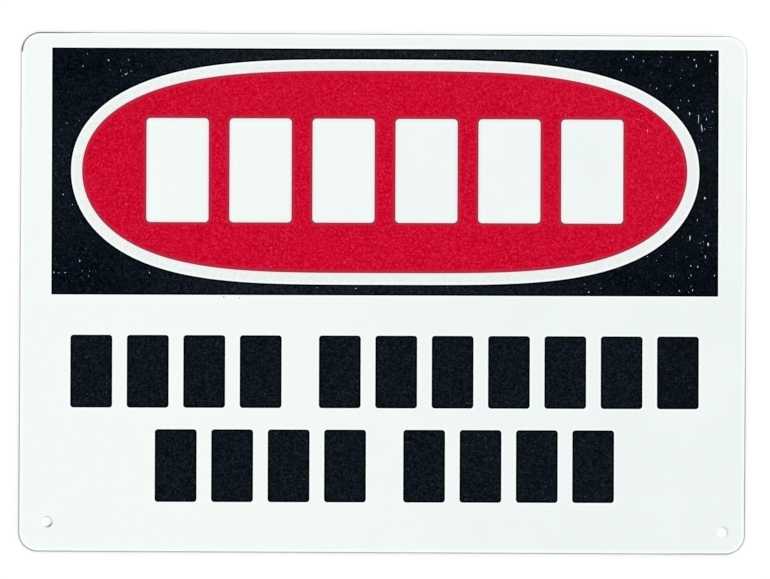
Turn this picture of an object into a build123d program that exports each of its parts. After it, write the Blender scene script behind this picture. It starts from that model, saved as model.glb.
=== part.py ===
from build123d import *
import math
import os

# A danger sign: one flat sheet of white plastic with rounded corners and two
# screw holes, and screen-printed ink on its front face. A black panel across
# the top has an oval opening. Inside it lies a red oval field, a ring of bare
# sheet away from the black. Rows of plain upright blocks lie in the red field
# and below the panel.
#
# Millimetres. The sign lies on its back: +X is its right, +Y its top and +Z
# comes out of the printed face. The origin is the middle of the back face.

# Sheet
sheet_width = 355.6
sheet_height = 254.0
sheet_thickness = 1.4
sheet_corner_radius = 9.5
front_edge_round = 0.5
back_edge_round = 0.2

# Screw holes. They are unequal: each is measured from its own side edge and
# from the bottom edge.
screw_hole_radius = 2.8
left_hole_from_left = 13.8
left_hole_from_bottom = 14.5
right_hole_from_right = 11.0
right_hole_from_bottom = 10.9

# Ink. All of the print sits a little to the right of the sheet's middle and is
# turned a little anticlockwise, in degrees.
ink_thickness = 0.1
print_shift_right = 0.8
print_turn = 0.12

# Black panel, as wide as the sheet less a bare margin at each side
panel_side_margin = 14.65
panel_top_margin = 7.35
panel_height = 120.7

# Oval opening in the panel, and the red oval a ring's width inside it. Both
# follow |x / a| ** end_power + |y / b| ** side_power = 1, which is fuller at
# its shoulders than an ellipse. The halves above and below the long axis have
# their own powers, and the lower half is the fuller one.
oval_end_margin = 9.4
oval_top_margin = 5.2
ring_width = 5.65
upper_end_power = 3.52
upper_side_power = 2.15
lower_end_power = 4.02
lower_side_power = 2.0
oval_point_count = 40
oval_point_crowding = 0.7

# The red was printed after the black, a little off its place
red_shift_left = 0.25
red_shift_up = 0.1

# White blocks in the red oval: one row of openings in the red ink
field_block_count = 6
field_block_gap = 10.2
field_block_corner = 2.0
field_end_margin = 31.4
field_top_margin = 23.5
field_bottom_margin = 24.6

# Black blocks below the panel: two rows of like blocks, each row in two groups.
# The upper row is as long as the oval opening.
upper_row_groups = (4, 7)
lower_row_groups = (4, 4)
row_block_gap = 7.2
row_group_gap = 18.3
row_block_corner = 1.5
panel_to_rows = 19.7
row_spacing = 10.55
rows_to_bottom_edge = 24.7

# Sheet's faces and edges
front_face = sheet_thickness
sheet_left = -sheet_width / 2
sheet_right = sheet_width / 2
sheet_top = sheet_height / 2
sheet_bottom = -sheet_height / 2

# Sizes and heights of the print that follow from the margins
panel_width = sheet_width - 2 * panel_side_margin
panel_middle = sheet_top - panel_top_margin - panel_height / 2
panel_bottom = panel_middle - panel_height / 2
oval_length = panel_width - 2 * oval_end_margin
oval_height = panel_height - 2 * oval_top_margin
red_length = oval_length - 2 * ring_width
red_height = oval_height - 2 * ring_width
rows_top = panel_bottom - panel_to_rows
rows_bottom = sheet_bottom + rows_to_bottom_edge
row_height = (rows_top - rows_bottom - row_spacing) / 2
upper_row_middle = rows_top - row_height / 2
lower_row_middle = rows_bottom + row_height / 2


def oval_face(length, height):
    """Flat face inside the oval, bounded by one smooth closed curve.

    A point of the curve at the angle t is x = a * cos(t) ** (2 / end_power),
    y = b * sin(t) ** (2 / side_power), each with the sign of its cosine or sine,
    and a and b half the length and height. The powers are its half's. The angles
    crowd towards the four ends of the axes, where x or y changes fastest.
    """
    a = length / 2
    b = height / 2
    points = []
    for step in range(oval_point_count):
        turn = 2 * math.pi * step / oval_point_count
        t = turn - oval_point_crowding * math.sin(4 * turn) / 4
        upper = math.sin(t) > 0
        end_power = upper_end_power if upper else lower_end_power
        side_power = upper_side_power if upper else lower_side_power
        x = a * math.copysign(abs(math.cos(t)) ** (2 / end_power), math.cos(t))
        y = b * math.copysign(abs(math.sin(t)) ** (2 / side_power), math.sin(t))
        points.append((x, y))
    return make_face(Spline(points, periodic=True))


def row_length(groups, width, gap, group_gap):
    """Length of a row of blocks in groups, with gaps between blocks and wider ones between groups."""
    return sum(groups) * width + (sum(groups) - len(groups)) * gap + (len(groups) - 1) * group_gap


def width_to_fill(length, groups, gap, group_gap):
    """Width of each block of a row that is as long as given."""
    return (length - row_length(groups, 0, gap, group_gap)) / sum(groups)


def block_row(groups, width, height, gap, group_gap, corner):
    """Row of upright blocks about the origin, each with rounded corners."""
    middle = (width - row_length(groups, width, gap, group_gap)) / 2
    middles = []
    for group in groups:
        for _ in range(group):
            middles.append((middle, 0))
            middle += width + gap
        middle += group_gap - gap
    with BuildSketch() as sketch:
        with Locations(middles):
            RectangleRounded(width, height, corner)
    return sketch.sketch


def ink_film(shape, middle_height, shift_left=0):
    """Film of ink on the front face, with the shape's middle on the print's centre line or left of it."""
    print_frame = Pos(print_shift_right, 0, front_face) * Rot(0, 0, print_turn)
    return extrude(print_frame * Pos(-shift_left, middle_height) * shape, amount=ink_thickness)


def make_sheet():
    """Flat sheet with rounded corners, both its outer edges broken, and two round holes."""
    outline = RectangleRounded(sheet_width, sheet_height, sheet_corner_radius)
    sheet = extrude(outline, amount=sheet_thickness)
    sheet = fillet(sheet.faces().sort_by(Axis.Z)[-1].edges(), front_edge_round)
    sheet = fillet(sheet.faces().sort_by(Axis.Z)[0].edges(), back_edge_round)
    left_hole = Pos(sheet_left + left_hole_from_left, sheet_bottom + left_hole_from_bottom)
    right_hole = Pos(sheet_right - right_hole_from_right, sheet_bottom + right_hole_from_bottom)
    holes = left_hole * Circle(screw_hole_radius) + right_hole * Circle(screw_hole_radius)
    return sheet - extrude(holes, amount=sheet_thickness)


def make_panel():
    """Black panel with the oval opening through it."""
    shape = Rectangle(panel_width, panel_height) - oval_face(oval_length, oval_height)
    return ink_film(shape, panel_middle)


def make_red_field():
    """Red oval with a row of block openings."""
    groups = (field_block_count,)
    width = width_to_fill(red_length - 2 * field_end_margin, groups, field_block_gap, 0)
    height = red_height - field_top_margin - field_bottom_margin
    row = block_row(groups, width, height, field_block_gap, 0, field_block_corner)
    blocks = Pos(0, (field_bottom_margin - field_top_margin) / 2) * row
    return ink_film(oval_face(red_length, red_height) - blocks, panel_middle + red_shift_up, red_shift_left)


def make_black_row(groups, middle_height):
    """One row of black blocks, as wide as those that fill the upper row."""
    width = width_to_fill(oval_length, upper_row_groups, row_block_gap, row_group_gap)
    blocks = block_row(groups, width, row_height, row_block_gap, row_group_gap, row_block_corner)
    return ink_film(blocks, middle_height)


nodes = {
    "sign_sheet": make_sheet(),
    "black_panel_ink": make_panel(),
    "red_oval_ink": make_red_field(),
    "upper_row_ink": make_black_row(upper_row_groups, upper_row_middle),
    "lower_row_ink": make_black_row(lower_row_groups, lower_row_middle),
}

os.makedirs("parts", exist_ok=True)
for name, shape in nodes.items():
    export_step(shape, f"parts/{name}.step")
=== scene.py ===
import math

import bpy
import numpy as np
from mathutils.geometry import delaunay_2d_cdt
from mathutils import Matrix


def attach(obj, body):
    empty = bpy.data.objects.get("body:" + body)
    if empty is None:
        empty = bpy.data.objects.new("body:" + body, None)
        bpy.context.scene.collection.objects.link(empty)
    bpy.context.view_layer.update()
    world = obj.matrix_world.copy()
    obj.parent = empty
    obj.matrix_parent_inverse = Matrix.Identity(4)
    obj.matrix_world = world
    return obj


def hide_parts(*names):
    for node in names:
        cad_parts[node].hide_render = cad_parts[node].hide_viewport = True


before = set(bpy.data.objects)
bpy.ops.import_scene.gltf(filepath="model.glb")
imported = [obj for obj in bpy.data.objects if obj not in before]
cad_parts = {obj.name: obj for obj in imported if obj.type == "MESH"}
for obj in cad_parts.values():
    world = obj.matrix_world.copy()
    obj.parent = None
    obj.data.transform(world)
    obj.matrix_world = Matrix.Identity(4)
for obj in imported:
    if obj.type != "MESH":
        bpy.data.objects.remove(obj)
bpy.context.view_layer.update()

# A danger sign, lying on its back on a pale floor: a white sheet with rounded
# corners and two punched screw holes, and four films of screen-printed ink on
# its front face. Every film is a closed plate with a softly rounded edge. The
# small flaws in the ink are shallow pits, where a veil of ink is left on the sheet.
#
# Sizes in this file are in millimetres, and turned to metres where a mesh, lamp
# or pattern takes them. X is the sign's right, Y its top, and Z comes out of its
# printed face. The origin is the middle of the back face.
mm = 0.001

# Sheet, and the lips that the punch leaves at the screw holes
sheet_width = 355.6
sheet_height = 254.0
sheet_thickness = 1.4
sheet_corner = 9.5
front_edge_round = 0.5
back_edge_round = 0.2
hole_radius = 2.8
hole_lip = 0.06
hole_middles = ((-164.0, -112.5), (166.8, -116.1))

# The left hole was punched aslant: its wall comes in at the back, most of all in
# the way given and by a share of that elsewhere. Its wall and lip on that side carry a painted
# shadow, which reaches a little onto the face.
hole_slant = 0.6
least_slant = 0.25
slant_and_shadow_way = (0.68, -0.73)
hole_shadow_reach = 0.15

# Rings of points on the sheet's flat faces, by their distance from its outline or a hole
outline_rings = (0.55, 0.7, 1.0, 1.5, 2.4)
outline_back_rings = (0.35,)
hole_rings = (0.2, 0.35, 0.6, 0.9)
hole_back_rings = (0.25,)

# Print: all of it sits a little right of the middle and is turned a little
film_top = 1.5
film_round = 0.05
print_right = 0.8
print_turn = math.radians(0.12)
panel_size = (326.3, 120.7)
panel_corner = 0.35
panel_middle = (0.0, 59.3)
opening_size = (307.5, 110.3)
red_size = (296.2, 99.0)
red_middle = (-0.25, 59.4)
upper_powers = (3.52, 2.15)
lower_powers = (4.02, 2.0)
oval_points = 480
oval_crowding = 0.8

# Plain blocks: six openings in the red ink, and two rows in black ink, each given by
# its groups and the height of its middle
field_groups = (6,)
field_block = (30.4, 50.9)
field_block_gap = 10.2
field_block_corner = 2.0
field_blocks_up = 59.95
row_block = (20.4, 35.5)
row_block_gap = 7.2
row_group_gap = 18.3
row_block_corner = 1.5
upper_row = ((4, 7), -38.5)
lower_row = ((4, 4), -84.55)

# Where ink ends. Black lies thickest, and darkest, along its border. Red is dull
# there, and has bled a little into the sheet. The sheet is cleanest beside the black,
# and the ring between black and red a shade greyer than the rest. Each row is
# (distance from the border, share).
black_border = ((0.05, 1), (0.45, 1), (0.8, 0.9), (0.9, 0))
red_border = ((0.05, 1), (0.5, 1), (0.8, 0.8), (1.05, 0.6), (1.3, 0.35), (1.7, 0.1), (2.1, 0))
red_bleed = ((0, 1), (0.55, 1), (0.8, 0.7), (1.2, 0.35), (1.6, 0.1), (2.0, 0))
clean_sheet = ((0, 0.75), (0.5, 0.75), (0.9, 0.35), (1.5, 0))
ring_grey = ((0, 0), (0.5, 0), (0.9, 0.4), (1.5, 1))

# Lines on the sheet carry these shares. How far under the ink they start, and the least
# radius of a block's corner there
under_ink = 0.25
least_corner = 0.3

# Marks that the inks' materials read: their border's tone, and where they are bare
ink_marks = ("border", "bare")

# The sheet's margin is painted lighter along its outline, a painted highlight: (inset, share)
margin_highlight = ((0.5, 0.8), (1.0, 0.75), (1.5, 0.55), (2.4, 0.0))

# Painted shade on the cut edge, a dark grey line where the edge is in shade: its share and
# how far in it ends, by the way from the sheet's middle, in degrees anticlockwise from the
# right. It is full over the outer half of that. It lies deepest in a short stretch of the upper
# left corner. Down the wall it falls to the share given below, times that.
edge_shade_by_way = (
    (0, 0.80, 0.58), (20, 0.68, 0.55), (33.5, 0.60, 0.55), (35, 0.50, 0.50), (37, 0.75, 0.45),
    (38, 1.00, 0.48), (60, 1.00, 0.52), (90, 1.00, 0.47), (138, 1.00, 0.45), (140.5, 1.00, 0.75),
    (143, 1.00, 0.85), (145.3, 1.00, 0.85), (145.7, 1.00, 1.15), (146.4, 1.00, 1.15),
    (146.6, 0.65, 0.42), (150, 0.60, 0.42), (180, 0.80, 0.42), (210, 1.00, 0.50), (215, 1.00, 0.50),
    (222, 1.00, 0.38), (270, 1.00, 0.36), (318, 1.00, 0.36), (321, 1.00, 0.55), (325, 0.85, 0.62),
    (330, 0.92, 0.72), (345, 0.88, 0.72), (360, 0.80, 0.58),
)
edge_shade_at_back = 0.2

# Widths of the cells in the materials' patterns. The lay of the ink and the grain of
# the sheet are finer on the real sign, and are drawn as coarse as they need to show.
drift_width = 45
scuff_width = 11
grain_width = 1.0
# The painted shade on the cut edge varies in patches this wide
shade_patch_width = 25
peel_width = 1.6
black_lay_width = 0.95
black_cloud_width = 6
thin_spot_width = 3.2
blue_dot_width = 1.5
red_lay_width = 0.9
red_cloud_width = 14
pinhole_width = 4.5

# The white sheet greys along this way, between these places on it
grey_way = (1, 0.15, 0)
grey_span = (-110, 175)

# Black ink thickens across the panel, by the distance from a line a little left of the
# middle, and up and down it, by the distance from its middle. The panel lies above
# panel_above, and the rows below that have one thickness. The panel's right end darkens
# further from left to right.
thin_line_left = 12
thick_across = (60, 128)
thick_up = (15, 50)
panel_above = -2
row_thickness = 0.45
right_end = (128, 150)

# Where the black ink's blue dots crowd: across, up and reach. They crowd fully within
# a share of the reach.
blue_smudges = ((-126.0, 106.0, 9.0), (-148.0, 11.0, 13.0),
                (158.0, 84.0, 11.0), (157.0, 25.0, 11.0))
smudge_core = 0.4

# Most of a noise's values lie in this range, which is stretched out to a whole one
noise_range = {"From Min": 0.3, "From Max": 0.7}

# Faces of a mesh that meet at more than this angle meet at a sharp edge
sharp_angle = 40

# Camera: its lens, its place and its angles in degrees, a tilt of half a degree and a
# turn of a third of one
camera_lens = 100
camera_place = (-7.31, -0.56, 1048.2)
camera_angles = (0.131, -0.440, 0.316)

# Floor: how far it reaches, and how much lighter than it is lit the camera sees it
floor_reach = 20000
floor_lift = 0.05

# Light: the key lamp, and the room's level low down and overhead. A way that
# points up by room_dark_from (its sine) starts to darken, and is dark by room_dark_to.
key_energy = 1.0
key_spread = 16
key_elevation = 57
key_turn = 135
room_level = 0.92
room_overhead = 0.005
room_dark_from = 0.86
room_dark_to = 0.965

# Flaws in the ink: the height of a pit's floor, its lip's round, the ring behind a pit's
# lip and behind a speck's edge, how much a flaw's radius swells twice and three times
# round it, and the seeds that turn those swells
pit_floor = 1.465
flaw_round = 0.02
flaw_ring = 0.04
speck_ring = 0.1
flaw_swells = (0.2, 0.12)
panel_flaws_seed = 3
red_flaws_seed = 5
specks_seed = 7

# Flaws in the black panel, where the ink missed or chipped off: across, up,
# width, length, and lean to the left in degrees. Most are at the right end.
panel_flaws = (
    (118.4, 115.4, 0.31, 1.03, 0), (121.8, 116.5, 0.40, 0.97, 0), (126.7, 114.6, 0.27, 0.76, 5),
    (115.9, 110.0, 0.36, 0.86, 0), (133.2, 101.1, 0.38, 0.59, 0), (130.2, 102.6, 0.20, 0.49, 0),
    (135.1, 114.2, 0.20, 0.41, 0), (135.7, 116.6, 0.34, 0.37, 40), (140.3, 116.5, 0.22, 0.32, 0),
    (140.0, 102.5, 0.27, 0.59, 0), (144.9, 106.2, 0.22, 0.30, 0), (145.8, 110.1, 0.22, 0.37, 0),
    (148.7, 116.4, 0.29, 0.45, 80), (151.7, 115.3, 0.56, 0.67, 20), (152.7, 112.3, 0.29, 1.62, 0),
    (160.1, 117.6, 0.47, 0.59, 0), (159.6, 114.8, 0.31, 1.03, 0), (151.4, 102.7, 0.43, 0.86, 8),
    (145.0, 95.4, 0.25, 0.49, 0), (149.0, 95.2, 0.29, 0.59, 10), (143.9, 91.7, 0.47, 0.71, 30),
    (149.5, 88.9, 0.52, 1.24, 0), (160.8, 89.9, 0.36, 0.63, 25), (153.9, 86.4, 0.29, 4.00, 0),
    (157.8, 86.2, 0.38, 0.97, 0), (155.5, 81.8, 0.40, 3.56, 9), (157.0, 81.4, 0.22, 0.81, 0),
    (160.3, 82.1, 0.22, 0.28, 0), (155.4, 75.8, 0.20, 0.37, 0), (154.4, 70.9, 0.36, 0.59, 0),
    (157.2, 47.5, 0.74, 1.13, 35), (153.6, 36.7, 0.31, 0.86, 0), (150.0, 28.0, 0.47, 2.27, 4),
    (158.9, 24.9, 0.81, 1.40, 10), (156.6, 26.1, 0.22, 0.52, 0), (155.2, 25.5, 0.20, 0.45, 0),
    (157.8, 29.2, 0.17, 0.97, 88), (157.6, 18.8, 0.34, 1.73, 8), (148.3, 18.8, 0.22, 0.35, 0),
    (136.1, 19.4, 0.22, 0.39, 0), (129.2, 18.7, 0.34, 0.39, 0), (133.6, 16.8, 0.22, 0.26, 0),
    (156.0, 20.9, 0.22, 0.28, 0), (153.9, 13.9, 0.40, 0.92, 15), (150.5, 14.3, 0.47, 0.56, 30),
    (162.1, 9.6, 0.34, 0.73, 0), (150.6, 9.6, 0.36, 0.65, 0), (140.5, 9.2, 0.36, 0.63, 0),
    (142.0, 9.3, 0.31, 0.54, 0), (149.6, 8.3, 0.22, 0.26, 0), (145.0, 2.0, 0.40, 0.95, 0),
    (151.4, 2.3, 0.36, 0.84, 0), (150.7, 4.2, 0.20, 0.45, 0), (149.5, 1.3, 0.22, 0.43, 85),
    (134.7, 4.9, 0.22, 0.50, 0), (134.4, 1.7, 0.18, 0.39, 80), (100.5, 1.1, 0.40, 0.84, 90),
    (98.4, 4.9, 0.27, 0.30, 0), (106.3, 3.1, 0.29, 0.30, 0), (98.9, 2.9, 0.22, 0.24, 0),
    (84.1, 114.8, 0.25, 0.56, 0), (24.8, 116.9, 0.20, 0.45, 0), (54.0, 117.9, 0.17, 0.37, 90),
    (-13.6, 2.3, 0.36, 0.67, 90), (-32.6, 2.6, 0.20, 0.45, 85), (-114.5, 9.5, 0.31, 0.78, 0),
    (-125.3, 113.5, 0.29, 0.60, 0), (-135.1, 113.3, 0.47, 0.97, 20),
    (-124.1, 108.0, 0.19, 0.50, 70), (-126.4, 106.6, 0.22, 2.05, -62),
    (-129.2, 108.2, 0.19, 0.48, 80), (-128.5, 105.5, 0.20, 0.24, 0),
    (-145.4, 116.3, 0.22, 0.41, 0), (-147.6, 110.3, 0.34, 0.56, 30), (-149.1, 83.8, 0.22, 0.30, 0),
    (-155.4, 82.4, 0.29, 0.56, 0), (-156.9, 47.5, 0.49, 0.52, 0), (-152.3, 42.6, 0.31, 0.35, 0),
    (-148.6, 15.1, 0.45, 0.84, 25), (-155.6, 9.3, 0.36, 0.69, 90), (-161.1, 9.4, 0.34, 0.84, 15),
    (-158.8, 9.2, 0.22, 0.52, 85), (-147.2, 10.2, 0.22, 0.48, 0), (-143.8, 10.0, 0.29, 0.30, 0),
    (-144.3, 7.7, 0.27, 0.52, 0), (-145.8, 21.1, 0.18, 0.22, 0), (-147.7, 6.9, 0.18, 0.24, 0),
)

# The red ink has only a few pinholes and one hair line
red_flaws = (
    (134.0, 47.9, 0.40, 0.45, 30), (133.4, 47.3, 0.20, 0.24, 0), (137.9, 46.3, 0.20, 0.22, 0),
    (128.9, 80.3, 0.15, 1.84, 0), (127.2, 29.0, 0.22, 0.26, 0), (-81.5, 83.5, 0.20, 0.24, 0),
    (-126.0, 43.0, 0.16, 0.86, -45), (121.0, 53.5, 0.18, 0.19, 0), (46.2, 98.9, 0.16, 0.19, 0),
)

# Two specks of black ink spattered on the sheet, given as the flaws are
specks = ((-78.1, -2.1, 0.50, 0.56, 0), (-70.4, -2.6, 0.36, 0.46, 0))


# Outlines. Each is a closed loop of points, anticlockwise, with the directions
# that point straight out of it.

def rounded_rectangle(width, height, corner, middle=(0, 0), steps=12, stops=1, mitred=False):
    """Four quarter circles, each its middle plus corner * (cos t, sin t), and between them
    the straight sides. Stop k of a side is at (1 - cos(pi k / (stops + 1))) / 2 of its
    length, so the stops crowd towards the corners. Mitred, a corner's points all share the
    way out (1, 1), so that the loop keeps its corner when it is drawn in."""
    t = (np.arange(4)[:, None] + np.linspace(0, 1, steps + 1)) * np.pi / 2
    out = np.stack([np.cos(t), np.sin(t)], axis=2)
    quadrant = np.array([(1, 1), (-1, 1), (-1, -1), (1, -1)])[:, None]
    arcs = quadrant * (np.array([width, height]) / 2 - corner) + corner * out
    along = (1 - np.cos(np.pi * np.arange(1, stops + 1)[:, None] / (stops + 1))) / 2
    sides = arcs[:, -1:] + along * (np.roll(arcs[:, :1], -1, axis=0) - arcs[:, -1:])
    points = np.concatenate([arcs, sides], axis=1).reshape(-1, 2) + middle
    straight = np.repeat(out[:, -1:], stops, axis=1)
    if mitred:
        out = np.broadcast_to(quadrant, out.shape)
    return points, np.concatenate([out, straight], axis=1).reshape(-1, 2)


def circle(radius, middle, way=None, steps=64):
    """Middle plus radius * (cos t, sin t). Where a way is given, the step out of the circle
    is least_slant long, and longer by the rest of 1 times the square of the cosine from
    that way."""
    t = np.arange(steps) * 2 * np.pi / steps
    out = np.stack([np.cos(t), np.sin(t)], axis=1)
    points = middle + radius * out
    if way is not None:
        toward = np.maximum(out @ way, 0)[:, None]
        out = out * (least_slant + (1 - least_slant) * toward ** 2)
    return points, out


def oval(length, height, middle):
    """Curve |x / a| ** p + |y / b| ** q = 1, with a and b half the length and height, so
    x = a cos(t) ** (2 / p) and y = b sin(t) ** (2 / q), each with the sign of its cosine or
    sine, and p and q its half's powers. The way out of it is the slope of that sum. The
    angles crowd towards the four ends of the axes, where x or y changes fastest."""
    turn = (np.arange(oval_points) + 0.5) * 2 * np.pi / oval_points
    t = turn - oval_crowding * np.sin(4 * turn) / 4
    c, s = np.cos(t), np.sin(t)
    p, q = np.where(s > 0, np.array(upper_powers)[:, None], np.array(lower_powers)[:, None])
    x, y = np.sign(c) * np.abs(c) ** (2 / p), np.sign(s) * np.abs(s) ** (2 / q)
    out = np.stack([np.sign(c) * np.abs(x) ** (p - 1) * 2 * p / length,
                    np.sign(s) * np.abs(y) ** (q - 1) * 2 * q / height], axis=1)
    out /= np.linalg.norm(out, axis=1, keepdims=True)
    return np.stack([x * length / 2, y * height / 2], axis=1) + middle, out


def flaw(across, up, width, length, lean, turns, steps=14):
    """Uneven spot: radius 1 + m sin(2 t + a) + n sin(3 t + b) round the circle, with m and n
    from flaw_swells and a and b from the two turns, drawn out to the width and length and
    then leant over."""
    t = np.arange(steps) * 2 * np.pi / steps
    twice, thrice = flaw_swells
    radius = 1 + twice * np.sin(2 * t + turns[0]) + thrice * np.sin(3 * t + turns[1])
    tall = np.stack([radius * np.cos(t) * width / 2, radius * np.sin(t) * length / 2], axis=1)
    c, s = math.cos(math.radians(lean)), math.sin(math.radians(lean))
    points = tall @ np.array([(c, s), (-s, c)])
    along = np.roll(points, -1, axis=0) - np.roll(points, 1, axis=0)
    out = np.stack([along[:, 1], -along[:, 0]], axis=1)
    return points + (across, up), out / np.linalg.norm(out, axis=1, keepdims=True)


def flaws(table, seed):
    """A flaw for each row of the table, with turns of its own."""
    turns = np.random.default_rng(seed).uniform(0, 2 * np.pi, (len(table), 2))
    return [flaw(*sizes, turn) for sizes, turn in zip(table, turns)]


def row_middles(groups, width, gap, group_gap):
    """Middles of a row of blocks about zero: block k of group g is (width + gap) * k to the
    right, and group_gap - gap further for every group before it."""
    group = np.repeat(np.arange(len(groups)), groups)
    across = np.arange(len(group)) * (width + gap) + group * (group_gap - gap)
    return across - across[-1] / 2


def in_print(loop):
    """The loop, from the print's own lines to the sheet's: turned, then moved to the right."""
    c, s = math.cos(print_turn), math.sin(print_turn)
    turned = np.array([(c, s), (-s, c)])
    return loop[0] @ turned + (print_right, 0), loop[1] @ turned


def panel_opening():
    """The oval opening in the black panel."""
    return in_print(oval(*opening_size, panel_middle))


def red_outline():
    """The outline of the red oval."""
    return in_print(oval(*red_size, red_middle))


def blocks(size, corner, middles, up, step):
    """Outlines of a row of blocks, drawn out by the step, or in where it is negative."""
    size, corner = np.array(size) + 2 * step, max(corner + step, least_corner)
    return [in_print(rounded_rectangle(*size, corner, (middle, up))) for middle in middles]


def field_blocks(step=0):
    """The six openings in the red ink, drawn out by the step."""
    middles = row_middles(field_groups, field_block[0], field_block_gap, 0) + red_middle[0]
    return blocks(field_block, field_block_corner, middles, field_blocks_up, step)


def row_blocks(groups, up, step=0):
    """The black blocks of one row, drawn out by the step."""
    middles = row_middles(groups, row_block[0], row_block_gap, row_group_gap)
    return blocks(row_block, row_block_corner, middles, up, step)


# Plates. A border is a loop with the side that the plate lies on, 1 within the loop
# and -1 round it, and the profile of its edge there, as rows of (inset, height, marks)
# from the back to the front. The marks are shares that the materials read by name.

def rounded_rise(radius, rings, steps=6):
    """Rows of (inset, depth) from a wall round a quarter circle, inset r (1 - cos t) and
    depth r (1 - sin t), and on over flat rings, given by their inset."""
    t = np.linspace(0, np.pi / 2, steps + 1)
    turned = np.stack([radius * (1 - np.cos(t)), radius * (1 - np.sin(t))], axis=1)
    return np.vstack([turned, [(ring, 0) for ring in rings]])


def edge(low, high, back_round, front_round, rings, back_rings=()):
    """Profile up an edge: the back's round the other way up, the wall, and the front's round.
    With no back round the wall starts from the back face at a sharp corner."""
    front = rounded_rise(front_round, rings) * (1, -1) + (0, high)
    if not back_round:
        return np.vstack([(0, low), front])
    return np.vstack([rounded_rise(back_round, back_rings)[::-1] + (0, low), front])


def share_at(table, distance):
    """The share that a table of (distance, share) gives, along straight lines between its
    rows."""
    return np.interp(distance, *np.array(table).T)


def marked(profile, *tables):
    """The profile with its marks. Each is a table of (inset, share) or one share."""
    shares = [share_at(table, profile[:, 0]) if np.ndim(table) else np.full(len(profile), table)
              for table in tables]
    return np.column_stack([profile, *shares])


def flat_face(borders, row):
    """Triangles that fill the space between the borders at one row of their profiles, by
    Delaunay's rule with the borders kept. One whose corners follow an opening's own order
    lies inside that opening, and is dropped."""
    counts = np.array([len(points) for points, *_ in borders])
    sides = np.array([side for _, _, side, _ in borders])
    border = np.repeat(np.arange(len(borders)), counts)
    first = np.repeat(np.cumsum(counts) - counts, counts)
    here = np.arange(counts.sum())
    after = first + (here - first + 1) % counts[border]
    flat = np.vstack([points - side * rows[row, 0] * out for points, out, side, rows in borders])
    inside_only, merge_distance = 1, 1e-7
    made = delaunay_2d_cdt(flat.tolist(), np.stack([here, after], axis=1).tolist(), [],
                           inside_only, merge_distance)
    if len(made[0]) != len(flat):
        raise ValueError("two borders of a plate cross")
    triangles = np.array(made[2])
    owner = border[triangles]
    in_order = (triangles < np.roll(triangles, -1, axis=1)).sum(axis=1) == 2
    within = (owner == owner[:, :1]).all(axis=1) & in_order
    return triangles[~(within & (sides[owner[:, 0]] < 0))]


def plate(name, borders, front_loops, mark_names, material, node):
    """Closed plate. Each border's profile is carried round it: a point is the border's, less
    the inset times the way out, at the row's height. Quads join each row to the next, and
    two flat faces close the back and the front. The loops of the front alone are pits, with
    a flat floor each, and lines, with the side 0 and one row, which only carry marks."""
    spots, marks, faces, base, top, start = [], [], [], [], [], 0
    for points, out, side, profile in borders + front_loops:
        n, rows = len(points), len(profile)
        flat = points - side * profile[:, :1, None] * out
        height = np.broadcast_to(profile[:, 1:2, None], (rows, n, 1))
        spots.append(np.concatenate([flat, height], axis=2).reshape(-1, 3))
        marks.append(np.repeat(profile[:, 2:], n, axis=0))
        i = np.arange(n)
        after = (i + 1) % n
        row = np.arange(rows - 1)[:, None] * n + start
        quads = np.stack([row + i, row + after, row + n + after, row + n + i], axis=-1)
        faces.append(quads.reshape(-1, 4)[:, ::-1 if side < 0 else 1])
        base.append(start + i)
        top.append(start + (rows - 1) * n + i)
        start += rows * n
    back = np.hstack(base[:len(borders)])[flat_face(borders, 0)][:, ::-1]
    front = np.hstack(top)[flat_face(borders + front_loops, -1)]
    floors = [loop.tolist() for loop, (*_, side, _) in zip(base[len(borders):], front_loops)
              if side]
    mesh = bpy.data.meshes.new(name)
    all_faces = np.vstack(faces).tolist() + back.tolist() + front.tolist() + floors
    mesh.from_pydata((np.vstack(spots) * mm).tolist(), [], all_faces)
    for mark, share in zip(mark_names, np.vstack(marks).T):
        mesh.attributes.new(mark, "FLOAT", "POINT").data.foreach_set("value", share)
    mesh.shade_smooth()
    mesh.set_sharp_from_angle(angle=math.radians(sharp_angle))
    mesh.materials.append(material)
    piece = bpy.data.objects.new(name, mesh)
    bpy.context.scene.collection.objects.link(piece)
    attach(piece, "root")
    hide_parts(node)
    return piece


# Materials

def linear(colour):
    """A hex colour's sRGB values turned to linear ones."""
    value = np.array([int(colour[k:k + 2], 16) / 255 for k in (1, 3, 5)])
    value = np.where(value <= 0.04045, value / 12.92, ((value + 0.055) / 1.055) ** 2.4)
    return (*value.tolist(), 1.0)


def add(tree, kind, inputs=None, **settings):
    """Adds a node with its settings. An input is another node, whose first open output is
    linked, or one of its outputs, or a value. A colour is a hex value. Inputs that share a
    name go by number: a Mix node's share is 0, its plain values are 2 and 3, and its
    colours 6 and 7."""
    made = tree.nodes.new(kind)
    for name, value in settings.items():
        setattr(made, name, value)
    for name, value in (inputs or {}).items():
        if isinstance(value, bpy.types.Node):
            value = next(output for output in value.outputs if output.enabled)
        if isinstance(value, bpy.types.NodeSocket):
            tree.links.new(value, made.inputs[name])
        else:
            made.inputs[name].default_value = linear(value) if isinstance(value, str) else value
    return made


def surface(name, ior, gloss):
    """New material with one shader, and the place on the piece that its patterns read."""
    material = bpy.data.materials.new(name)
    material.use_nodes = True
    tree = material.node_tree
    tree.nodes.clear()
    shader = add(tree, "ShaderNodeBsdfPrincipled", {"IOR": ior, "Specular IOR Level": gloss})
    add(tree, "ShaderNodeOutputMaterial", {"Surface": shader})
    return material, tree, shader, add(tree, "ShaderNodeTexCoord").outputs["Object"]


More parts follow.
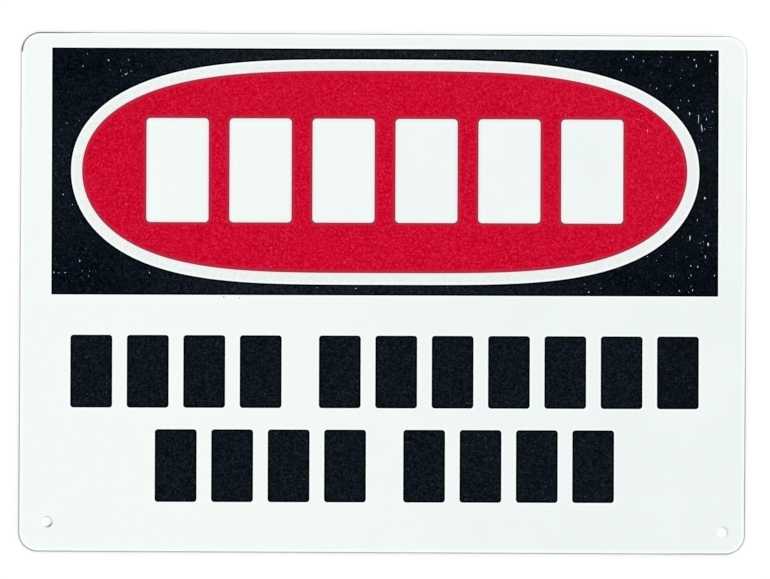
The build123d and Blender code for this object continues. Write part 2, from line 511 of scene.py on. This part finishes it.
def white_styrene():
    """High-impact styrene, extruded as sheet: satin white, with a faint orange peel from the
    rolls, a fine grain and pale scuffs. It has greyed a little towards the right, and in
    specks in the ring between the inks. It is cleanest beside the black ink, and lighter at its
    margin, a painted highlight. Its cut edge and the left hole's lower right wall are painted dark
    grey, as painted shade. Red ink has bled into it a little."""
    material, tree, shader, place = surface("white_styrene_extruded_satin", ior=1.57, gloss=0.5)
    along = add(tree, "ShaderNodeVectorMath", {0: place, 1: grey_way},
                operation="DOT_PRODUCT").outputs["Value"]
    drift = add(tree, "ShaderNodeTexNoise", {"Vector": place, "Scale": 1 / (drift_width * mm)})
    drift = add(tree, "ShaderNodeMapRange", {"Value": drift, **noise_range, "To Min": 0.45})
    aged = add(tree, "ShaderNodeMapRange", {
        "Value": along, "From Min": grey_span[0] * mm, "From Max": grey_span[1] * mm,
        "To Max": 0.92})
    aged = add(tree, "ShaderNodeMath", {0: aged, 1: drift}, operation="MULTIPLY")
    tone = add(tree, "ShaderNodeMix", {0: aged, 6: "#F3F9F7", 7: "#E6F0EF"}, data_type="RGBA")
    scuff = add(tree, "ShaderNodeTexNoise", {
        "Vector": place, "Scale": 1 / (scuff_width * mm), "Detail": 3})
    scuff = add(tree, "ShaderNodeMapRange", {"Value": scuff, "From Min": 0.4, "From Max": 0.75})
    scuff = add(tree, "ShaderNodeMath", {0: scuff, 1: aged}, operation="MULTIPLY")
    tone = add(tree, "ShaderNodeMix", {0: scuff, 6: tone, 7: "#F2EFF2"}, data_type="RGBA")
    fine = add(tree, "ShaderNodeTexNoise", {
        "Vector": place, "Scale": 1 / (grain_width * mm), "Detail": 3})
    grain = add(tree, "ShaderNodeMapRange", {"Value": fine, **noise_range, "To Max": 0.35})
    tone = add(tree, "ShaderNodeMix", {0: grain, 6: tone, 7: "#EEF5F3"}, data_type="RGBA")
    greyed = add(tree, "ShaderNodeAttribute", attribute_name="greyed").outputs["Fac"]
    speckle = add(tree, "ShaderNodeMapRange", {"Value": fine, **noise_range, "To Max": 0.85})
    greyed = add(tree, "ShaderNodeMath", {0: greyed, 1: speckle}, operation="MULTIPLY")
    tone = add(tree, "ShaderNodeMix", {0: greyed, 6: tone, 7: "#DFE6E5"}, data_type="RGBA")
    bled = add(tree, "ShaderNodeAttribute", attribute_name="bled").outputs["Fac"]
    tone = add(tree, "ShaderNodeMix", {0: bled, 6: tone, 7: "#FFE4E8"}, data_type="RGBA")
    # Lighter beside the black ink, and at the margin, where it is a painted highlight
    clean_and_highlight = add(tree, "ShaderNodeAttribute", attribute_name="clean_and_highlight").outputs["Fac"]
    tone = add(tree, "ShaderNodeMix", {0: clean_and_highlight, 6: tone, 7: "#FBFFFD"}, data_type="RGBA")
    # Painted shade: the cut edge and the left hole's lower right wall are mixed towards a dark
    # bluish grey, in patches, and made rough
    painted_shade = add(tree, "ShaderNodeAttribute", attribute_name="painted_shade").outputs["Fac"]
    patchy = add(tree, "ShaderNodeTexNoise", {"Vector": place, "Scale": 1 / (shade_patch_width * mm)})
    patchy = add(tree, "ShaderNodeMapRange", {"Value": patchy, **noise_range, "To Min": 0.88})
    painted_shade = add(tree, "ShaderNodeMath", {0: painted_shade, 1: patchy}, operation="MULTIPLY")
    tone = add(tree, "ShaderNodeMix", {0: painted_shade, 6: tone, 7: "#2C2D36"}, data_type="RGBA")
    peel = add(tree, "ShaderNodeTexNoise", {"Vector": place, "Scale": 1 / (peel_width * mm)})
    satin = add(tree, "ShaderNodeMapRange", {
        "Value": peel, **noise_range, "To Min": 0.34, "To Max": 0.42})
    rough = add(tree, "ShaderNodeMix", {0: painted_shade, 2: satin, 3: 0.85})
    bump = add(tree, "ShaderNodeBump", {"Height": peel, "Strength": 0.25, "Distance": 0.01 * mm})
    tree.links.new(tone.outputs[2], shader.inputs["Base Color"])
    tree.links.new(rough.outputs[0], shader.inputs["Roughness"])
    tree.links.new(bump.outputs[0], shader.inputs["Normal"])
    return material


def black_ink():
    """Blue-black enamel ink pulled through a screen: semi-gloss, with a fine uneven lay, a
    few thin spots that let a little of the sheet through, and blue dots that crowd in
    places. It is darkest along its border and at the panel's two ends, most at the right
    one, and a bluish veil of it is left in its flaws. The real grain is under half a
    millimetre, and is drawn as coarse as it needs to show."""
    material, tree, shader, place = surface("black_enamel_ink_screen_printed", ior=1.45, gloss=0.4)
    lay = add(tree, "ShaderNodeTexNoise", {
        "Vector": place, "Scale": 1 / (black_lay_width * mm), "Detail": 3})
    lay = add(tree, "ShaderNodeMapRange", {"Value": lay, "From Min": 0.2, "From Max": 0.8})
    skewed = add(tree, "ShaderNodeMath", {0: lay, 1: 2.2}, operation="POWER")
    at = add(tree, "ShaderNodeSeparateXYZ", {0: place})
    outward = add(tree, "ShaderNodeMath", {0: at.outputs["X"], 1: thin_line_left * mm})
    outward = add(tree, "ShaderNodeMath", {0: outward}, operation="ABSOLUTE")
    outward = add(tree, "ShaderNodeMapRange", {
        "Value": outward, "From Min": thick_across[0] * mm, "From Max": thick_across[1] * mm})
    upward = add(tree, "ShaderNodeMath", {0: at.outputs["Y"], 1: panel_middle[1] * mm},
                 operation="SUBTRACT")
    upward = add(tree, "ShaderNodeMath", {0: upward}, operation="ABSOLUTE")
    upward = add(tree, "ShaderNodeMapRange", {
        "Value": upward, "From Min": thick_up[0] * mm, "From Max": thick_up[1] * mm,
        "To Min": 0.5})
    on_panel = add(tree, "ShaderNodeMath", {0: at.outputs["Y"], 1: panel_above * mm},
                   operation="GREATER_THAN")
    thick = add(tree, "ShaderNodeMath", {0: outward, 1: upward}, operation="MULTIPLY")
    thick = add(tree, "ShaderNodeMix", {0: on_panel, 2: row_thickness, 3: thick})
    low = add(tree, "ShaderNodeMix", {0: thick, 6: "#040A0D", 7: "#000001"}, data_type="RGBA")
    high = add(tree, "ShaderNodeMix", {0: thick, 6: "#2D373E", 7: "#182731"}, data_type="RGBA")
    tone = add(tree, "ShaderNodeMix", {0: skewed, 6: low, 7: high}, data_type="RGBA")
    at_end = add(tree, "ShaderNodeMapRange", {
        "Value": at.outputs["X"], "From Min": right_end[0] * mm, "From Max": right_end[1] * mm,
        "To Max": 0.25})
    tone = add(tree, "ShaderNodeMix", {0: at_end, 6: tone, 7: "#000303"}, data_type="RGBA")
    cloud = add(tree, "ShaderNodeTexNoise", {
        "Vector": place, "Scale": 1 / (black_cloud_width * mm), "Detail": 3})
    tint = add(tree, "ShaderNodeMapRange", {
        "Value": cloud, "From Min": 0.45, "From Max": 0.75, "To Max": 0.35})
    tone = add(tree, "ShaderNodeMix", {0: tint, 6: tone, 7: "#0B0F24"}, data_type="RGBA")
    spots = add(tree, "ShaderNodeTexVoronoi", {
        "Vector": place, "Scale": 1 / (thin_spot_width * mm)})
    spot = add(tree, "ShaderNodeMapRange", {
        "Value": spots.outputs["Distance"], "From Min": 0.14, "From Max": 0.04, "To Max": 0.5})
    chance = add(tree, "ShaderNodeSeparateColor", {0: spots.outputs["Color"]}).outputs["Red"]
    picked = add(tree, "ShaderNodeMath", {0: chance, 1: 0.62}, operation="GREATER_THAN")
    spot = add(tree, "ShaderNodeMath", {0: spot, 1: picked}, operation="MULTIPLY")
    tone = add(tree, "ShaderNodeMix", {0: spot, 6: tone, 7: "#5A6670"}, data_type="RGBA")
    dots = add(tree, "ShaderNodeTexVoronoi", {"Vector": place, "Scale": 1 / (blue_dot_width * mm)})
    dot = add(tree, "ShaderNodeMapRange", {
        "Value": dots.outputs["Distance"], "From Min": 0.28, "From Max": 0.12, "To Max": 0.7})
    chance = add(tree, "ShaderNodeSeparateColor", {0: dots.outputs["Color"]}).outputs["Green"]
    picked = add(tree, "ShaderNodeMath", {0: chance, 1: 0.5}, operation="GREATER_THAN")
    crowd = add(tree, "ShaderNodeMapRange", {
        "Value": cloud, "From Min": 0.53, "From Max": 0.63, "To Max": 0.55})
    for across, up, reach in blue_smudges:
        middle = (across * mm, up * mm, sheet_thickness * mm)
        away = add(tree, "ShaderNodeVectorMath", {0: place, 1: middle},
                   operation="DISTANCE").outputs["Value"]
        smudge = add(tree, "ShaderNodeMapRange", {
            "Value": away, "From Min": reach * mm, "From Max": smudge_core * reach * mm})
        crowd = add(tree, "ShaderNodeMath", {0: crowd, 1: smudge}, operation="MAXIMUM")
    dot = add(tree, "ShaderNodeMath", {0: dot, 1: picked}, operation="MULTIPLY")
    dot = add(tree, "ShaderNodeMath", {0: dot, 1: crowd}, operation="MULTIPLY")
    tone = add(tree, "ShaderNodeMix", {0: dot, 6: tone, 7: "#33477A"}, data_type="RGBA")
    border = add(tree, "ShaderNodeAttribute", attribute_name="border").outputs["Fac"]
    tone = add(tree, "ShaderNodeMix", {0: border, 6: tone, 7: "#000103"}, data_type="RGBA")
    bare = add(tree, "ShaderNodeAttribute", attribute_name="bare").outputs["Fac"]
    veil = add(tree, "ShaderNodeMix", {0: cloud, 6: "#C2D2E4", 7: "#DFE8F2"}, data_type="RGBA")
    tone = add(tree, "ShaderNodeMix", {0: bare, 6: tone, 7: veil}, data_type="RGBA")
    rough = add(tree, "ShaderNodeMapRange", {
        "Value": cloud, **noise_range, "To Min": 0.12, "To Max": 0.17})
    rough = add(tree, "ShaderNodeMix", {0: bare, 2: rough, 3: 0.5})
    bump = add(tree, "ShaderNodeBump", {"Height": lay, "Strength": 0.3, "Distance": 0.008 * mm})
    tree.links.new(tone.outputs[2], shader.inputs["Base Color"])
    tree.links.new(rough.outputs[0], shader.inputs["Roughness"])
    tree.links.new(bump.outputs[0], shader.inputs["Normal"])
    return material


def red_ink():
    """Red enamel ink pulled through a screen: semi-gloss, with a mottled lay in small curls
    and a few pink pinholes. It dulls to plum along its border. The real grain is under half
    a millimetre, and is drawn as coarse as it needs to show."""
    material, tree, shader, place = surface("red_enamel_ink_screen_printed", ior=1.45, gloss=0.4)
    lay = add(tree, "ShaderNodeTexNoise", {
        "Vector": place, "Scale": 1 / (red_lay_width * mm), "Detail": 3, "Distortion": 0.6})
    lay = add(tree, "ShaderNodeMapRange", {"Value": lay, **noise_range})
    below = add(tree, "ShaderNodeMapRange", {"Value": lay, "From Max": 0.5})
    tone = add(tree, "ShaderNodeMix", {0: below, 6: "#B20004", 7: "#CC042D"}, data_type="RGBA")
    above = add(tree, "ShaderNodeMapRange", {"Value": lay, "From Min": 0.5})
    tone = add(tree, "ShaderNodeMix", {0: above, 6: tone, 7: "#E2284D"}, data_type="RGBA")
    cloud = add(tree, "ShaderNodeTexNoise", {"Vector": place, "Scale": 1 / (red_cloud_width * mm)})
    thin = add(tree, "ShaderNodeMapRange", {"Value": cloud, **noise_range, "To Max": 0.2})
    tone = add(tree, "ShaderNodeMix", {0: thin, 6: tone, 7: "#CE0A2E"}, data_type="RGBA")
    holes = add(tree, "ShaderNodeTexVoronoi", {"Vector": place, "Scale": 1 / (pinhole_width * mm)})
    hole = add(tree, "ShaderNodeMapRange", {
        "Value": holes.outputs["Distance"], "From Min": 0.10, "From Max": 0.04, "To Max": 0.45})
    chance = add(tree, "ShaderNodeSeparateColor", {0: holes.outputs["Color"]}).outputs["Red"]
    picked = add(tree, "ShaderNodeMath", {0: chance, 1: 0.7}, operation="GREATER_THAN")
    hole = add(tree, "ShaderNodeMath", {0: hole, 1: picked}, operation="MULTIPLY")
    tone = add(tree, "ShaderNodeMix", {0: hole, 6: tone, 7: "#F778B0"}, data_type="RGBA")
    border = add(tree, "ShaderNodeAttribute", attribute_name="border").outputs["Fac"]
    tone = add(tree, "ShaderNodeMix", {0: border, 6: tone, 7: "#A03348"}, data_type="RGBA")
    bare = add(tree, "ShaderNodeAttribute", attribute_name="bare").outputs["Fac"]
    tone = add(tree, "ShaderNodeMix", {0: bare, 6: tone, 7: "#F2DCE1"}, data_type="RGBA")
    rough = add(tree, "ShaderNodeMapRange", {
        "Value": cloud, **noise_range, "To Min": 0.12, "To Max": 0.17})
    rough = add(tree, "ShaderNodeMix", {0: bare, 2: rough, 3: 0.5})
    bump = add(tree, "ShaderNodeBump", {"Height": lay, "Strength": 0.3, "Distance": 0.008 * mm})
    tree.links.new(tone.outputs[2], shader.inputs["Base Color"])
    tree.links.new(rough.outputs[0], shader.inputs["Roughness"])
    tree.links.new(bump.outputs[0], shader.inputs["Normal"])
    return material


# Pieces

def line(loop, *shares):
    """A line on the sheet's face that carries the shares."""
    return loop[0], np.zeros_like(loop[0]), 0, np.array([(0, sheet_thickness, *shares)])


def stepped(table):
    """The distances and shares of a table, with its border's own moved under the ink."""
    return [(-under_ink, table[0][1]), *table[1:]]


def ink_lines():
    """Lines that carry what the ink leaves on the sheet: its red bleed, the ring's grey and
    the clean sheet beside the black. Each is a border of the ink drawn out or in."""
    lines = []
    for step, bled in stepped(red_bleed):
        points, out = red_outline()
        lines.append(line((points + step * out, out), bled, share_at(ring_grey, step), 0))
        lines += [line(loop, bled, 0, 0) for loop in field_blocks(-step)]
    for step, clean_and_highlight in stepped(clean_sheet):
        points, out = panel_opening()
        lines.append(line((points - step * out, out), 0, share_at(ring_grey, step), clean_and_highlight))
        size, corner = np.array(panel_size) + 2 * step, panel_corner + max(step, 0)
        whole = rounded_rectangle(*size, corner, panel_middle)
        lines.append(line(in_print(whole), 0, 0, clean_and_highlight))
        for row in (upper_row, lower_row):
            lines += [line(loop, 0, 0, clean_and_highlight) for loop in row_blocks(*row, step)]
    return lines


def make_sheet(material):
    """The sheet with its two holes. The painted shade on its cut edge is an attribute: the share of
    its way from the middle, times one that falls evenly from full at half its depth inside the
    outline to none, and times one that falls down the wall. A painted shadow on the left hole's
    wall and lip goes with the square of the cosine from its way, and is added to it."""
    outline = rounded_rectangle(sheet_width, sheet_height, sheet_corner, steps=20, stops=30)
    cut = edge(0, sheet_thickness, back_edge_round, front_edge_round, outline_rings,
               outline_back_rings)
    punched = edge(0, sheet_thickness, hole_lip, hole_lip, hole_rings, hole_back_rings)
    aslant = edge(0, sheet_thickness, 0, hole_lip, hole_rings)
    aslant[0, 0] = -hole_slant
    left, right = hole_middles
    borders = [(*outline, 1, marked(cut, 0, 0, margin_highlight)),
               (*circle(hole_radius, left, slant_and_shadow_way), -1, marked(aslant, 0, 0, 0)),
               (*circle(hole_radius, right), -1, marked(punched, 0, 0, 0))]
    sheet = plate("white_styrene_sheet", borders, ink_lines(), ("bled", "greyed", "clean_and_highlight"),
                  material, "sign_sheet")
    spots = np.empty(len(sheet.data.vertices) * 3)
    sheet.data.vertices.foreach_get("co", spots)
    flat = spots.reshape(-1, 3)[:, :2] / mm
    height = spots[2::3] / mm
    # Painted shade on the cut edge: its share by the way from the middle, full to half its depth
    # inside the outline, and less down the wall
    past = np.abs(flat) - (np.array([sheet_width, sheet_height]) / 2 - sheet_corner)
    inside = sheet_corner - np.linalg.norm(np.maximum(past, 0), axis=1)
    inside -= np.minimum(past.max(axis=1), 0)
    way = np.degrees(np.arctan2(flat[:, 1], flat[:, 0])) % 360
    ways, shares, depths = np.array(edge_shade_by_way).T
    depth = np.interp(way, ways, depths)
    painted_shade = np.interp(way, ways, shares) * np.clip(2 - 2 * inside / depth, 0, 1)
    wall = (back_edge_round, sheet_thickness - front_edge_round)
    painted_shade *= np.interp(height, wall, (edge_shade_at_back, 1))
    # Painted shadow on the left hole's lower right wall and lip, added to the painted shade
    from_hole = flat - left
    away = np.linalg.norm(from_hole, axis=1)
    hole_shadow = np.clip((from_hole @ slant_and_shadow_way) / away, 0, 1) ** 2
    painted_shade += hole_shadow * np.clip(1 - (away - hole_radius) / hole_shadow_reach, 0, 1)
    sheet.data.attributes.new("painted_shade", "FLOAT", "POINT").data.foreach_set("value", painted_shade)


def film_edge(border):
    """Profile up a film's edge, with the share of its border's tone."""
    rings = [distance for distance, _ in border]
    return marked(edge(sheet_thickness, film_top, 0, film_round, rings[1:]), border, 0)


def pits(table, seed):
    """The ink's flaws as shallow pits with thin lips, bare on the floor alone."""
    lip = edge(pit_floor, film_top, 0, flaw_round, (flaw_ring,))
    lip = np.column_stack([lip, np.zeros(len(lip)), lip[:, 1] == pit_floor])
    return [(*loop, -1, lip) for loop in flaws(table, seed)]


def make_panel(material):
    """The black panel round its oval opening, with its flaws, and the two specks below it."""
    rise = film_edge(black_border)
    whole = rounded_rectangle(*panel_size, panel_corner, panel_middle, steps=5, mitred=True)
    borders = [(*in_print(whole), 1, rise), (*panel_opening(), -1, rise)]
    speck_edge = marked(edge(sheet_thickness, film_top, 0, film_round, (speck_ring,)), 0, 0)
    borders += [(*loop, 1, speck_edge) for loop in flaws(specks, specks_seed)]
    plate("panel_of_black_ink", borders, pits(panel_flaws, panel_flaws_seed), ink_marks,
          material, "black_panel_ink")


def make_red_oval(material):
    """The red oval round its six block openings, with its flaws."""
    rise = film_edge(red_border)
    borders = [(*red_outline(), 1, rise)] + [(*block, -1, rise) for block in field_blocks()]
    plate("oval_of_red_ink", borders, pits(red_flaws, red_flaws_seed), ink_marks,
          material, "red_oval_ink")


def make_row(name, row, material, node):
    """One row of black blocks."""
    rise = film_edge(black_border)
    borders = [(*block, 1, rise) for block in row_blocks(*row)]
    plate(name, borders, [], ink_marks, material, node)


# Studio

def make_camera():
    """Long lens from almost straight above."""
    camera = bpy.data.objects.new("camera", bpy.data.cameras.new("camera"))
    camera.data.lens = camera_lens
    camera.location = [value * mm for value in camera_place]
    camera.rotation_euler = [math.radians(angle) for angle in camera_angles]
    bpy.context.scene.collection.objects.link(camera)
    bpy.context.scene.camera = camera


def make_floor():
    """Matt white floor. The camera sees it a little lighter than it is lit, so that it reads
    white and keeps the sign's shadow."""
    reach = floor_reach * mm
    mesh = bpy.data.meshes.new("floor")
    corners = [(-reach, -reach, 0), (reach, -reach, 0), (reach, reach, 0), (-reach, reach, 0)]
    mesh.from_pydata(corners, [], [(0, 1, 2, 3)])
    material = bpy.data.materials.new("matt_white_paper")
    material.use_nodes = True
    tree = material.node_tree
    tree.nodes.clear()
    paper = add(tree, "ShaderNodeBsdfDiffuse", {"Color": "#F9F9F9"})
    seen = add(tree, "ShaderNodeLightPath").outputs["Is Camera Ray"]
    lift = add(tree, "ShaderNodeMath", {0: seen, 1: floor_lift}, operation="MULTIPLY")
    glow = add(tree, "ShaderNodeEmission", {"Strength": lift})
    both = add(tree, "ShaderNodeAddShader", {0: paper, 1: glow})
    add(tree, "ShaderNodeOutputMaterial", {"Surface": both})
    mesh.materials.append(material)
    floor = bpy.data.objects.new("floor", mesh)
    bpy.context.scene.collection.objects.link(floor)


def make_light():
    """A weak, soft key lamp from the upper right, and a white room that is bright from the
    horizon up and dark overhead, where the gloss of the ink looks. The camera itself sees
    plain white round the floor."""
    lamp = bpy.data.objects.new("key", bpy.data.lights.new("key", "SUN"))
    lamp.data.energy = key_energy
    lamp.data.angle = math.radians(key_spread)
    lamp.rotation_euler = (math.radians(90 - key_elevation), 0, math.radians(key_turn))
    bpy.context.scene.collection.objects.link(lamp)
    world = bpy.data.worlds.new("room")
    bpy.context.scene.world = world
    world.use_nodes = True
    tree = world.node_tree
    tree.nodes.clear()
    way = add(tree, "ShaderNodeTexCoord").outputs["Generated"]
    up = add(tree, "ShaderNodeSeparateXYZ", {0: way}).outputs["Z"]
    level = add(tree, "ShaderNodeMapRange", {
        "Value": up, "From Min": room_dark_from, "From Max": room_dark_to,
        "To Min": room_level, "To Max": room_overhead}, interpolation_type="SMOOTHSTEP")
    room = add(tree, "ShaderNodeBackground", {"Color": "#FFFFFF", "Strength": level})
    plain = add(tree, "ShaderNodeBackground", {"Color": "#FFFFFF", "Strength": 1.0})
    seen = add(tree, "ShaderNodeLightPath").outputs["Is Camera Ray"]
    both = add(tree, "ShaderNodeMixShader", {0: seen, 1: room, 2: plain})
    add(tree, "ShaderNodeOutputWorld", {"Surface": both})


make_camera()
make_floor()
make_light()
black = black_ink()
make_sheet(white_styrene())
make_panel(black)
make_red_oval(red_ink())
make_row("upper_row_of_black_ink", upper_row, black, "upper_row_ink")
make_row("lower_row_of_black_ink", lower_row, black, "lower_row_ink")
bpy.context.scene.view_settings.view_transform = "Standard"
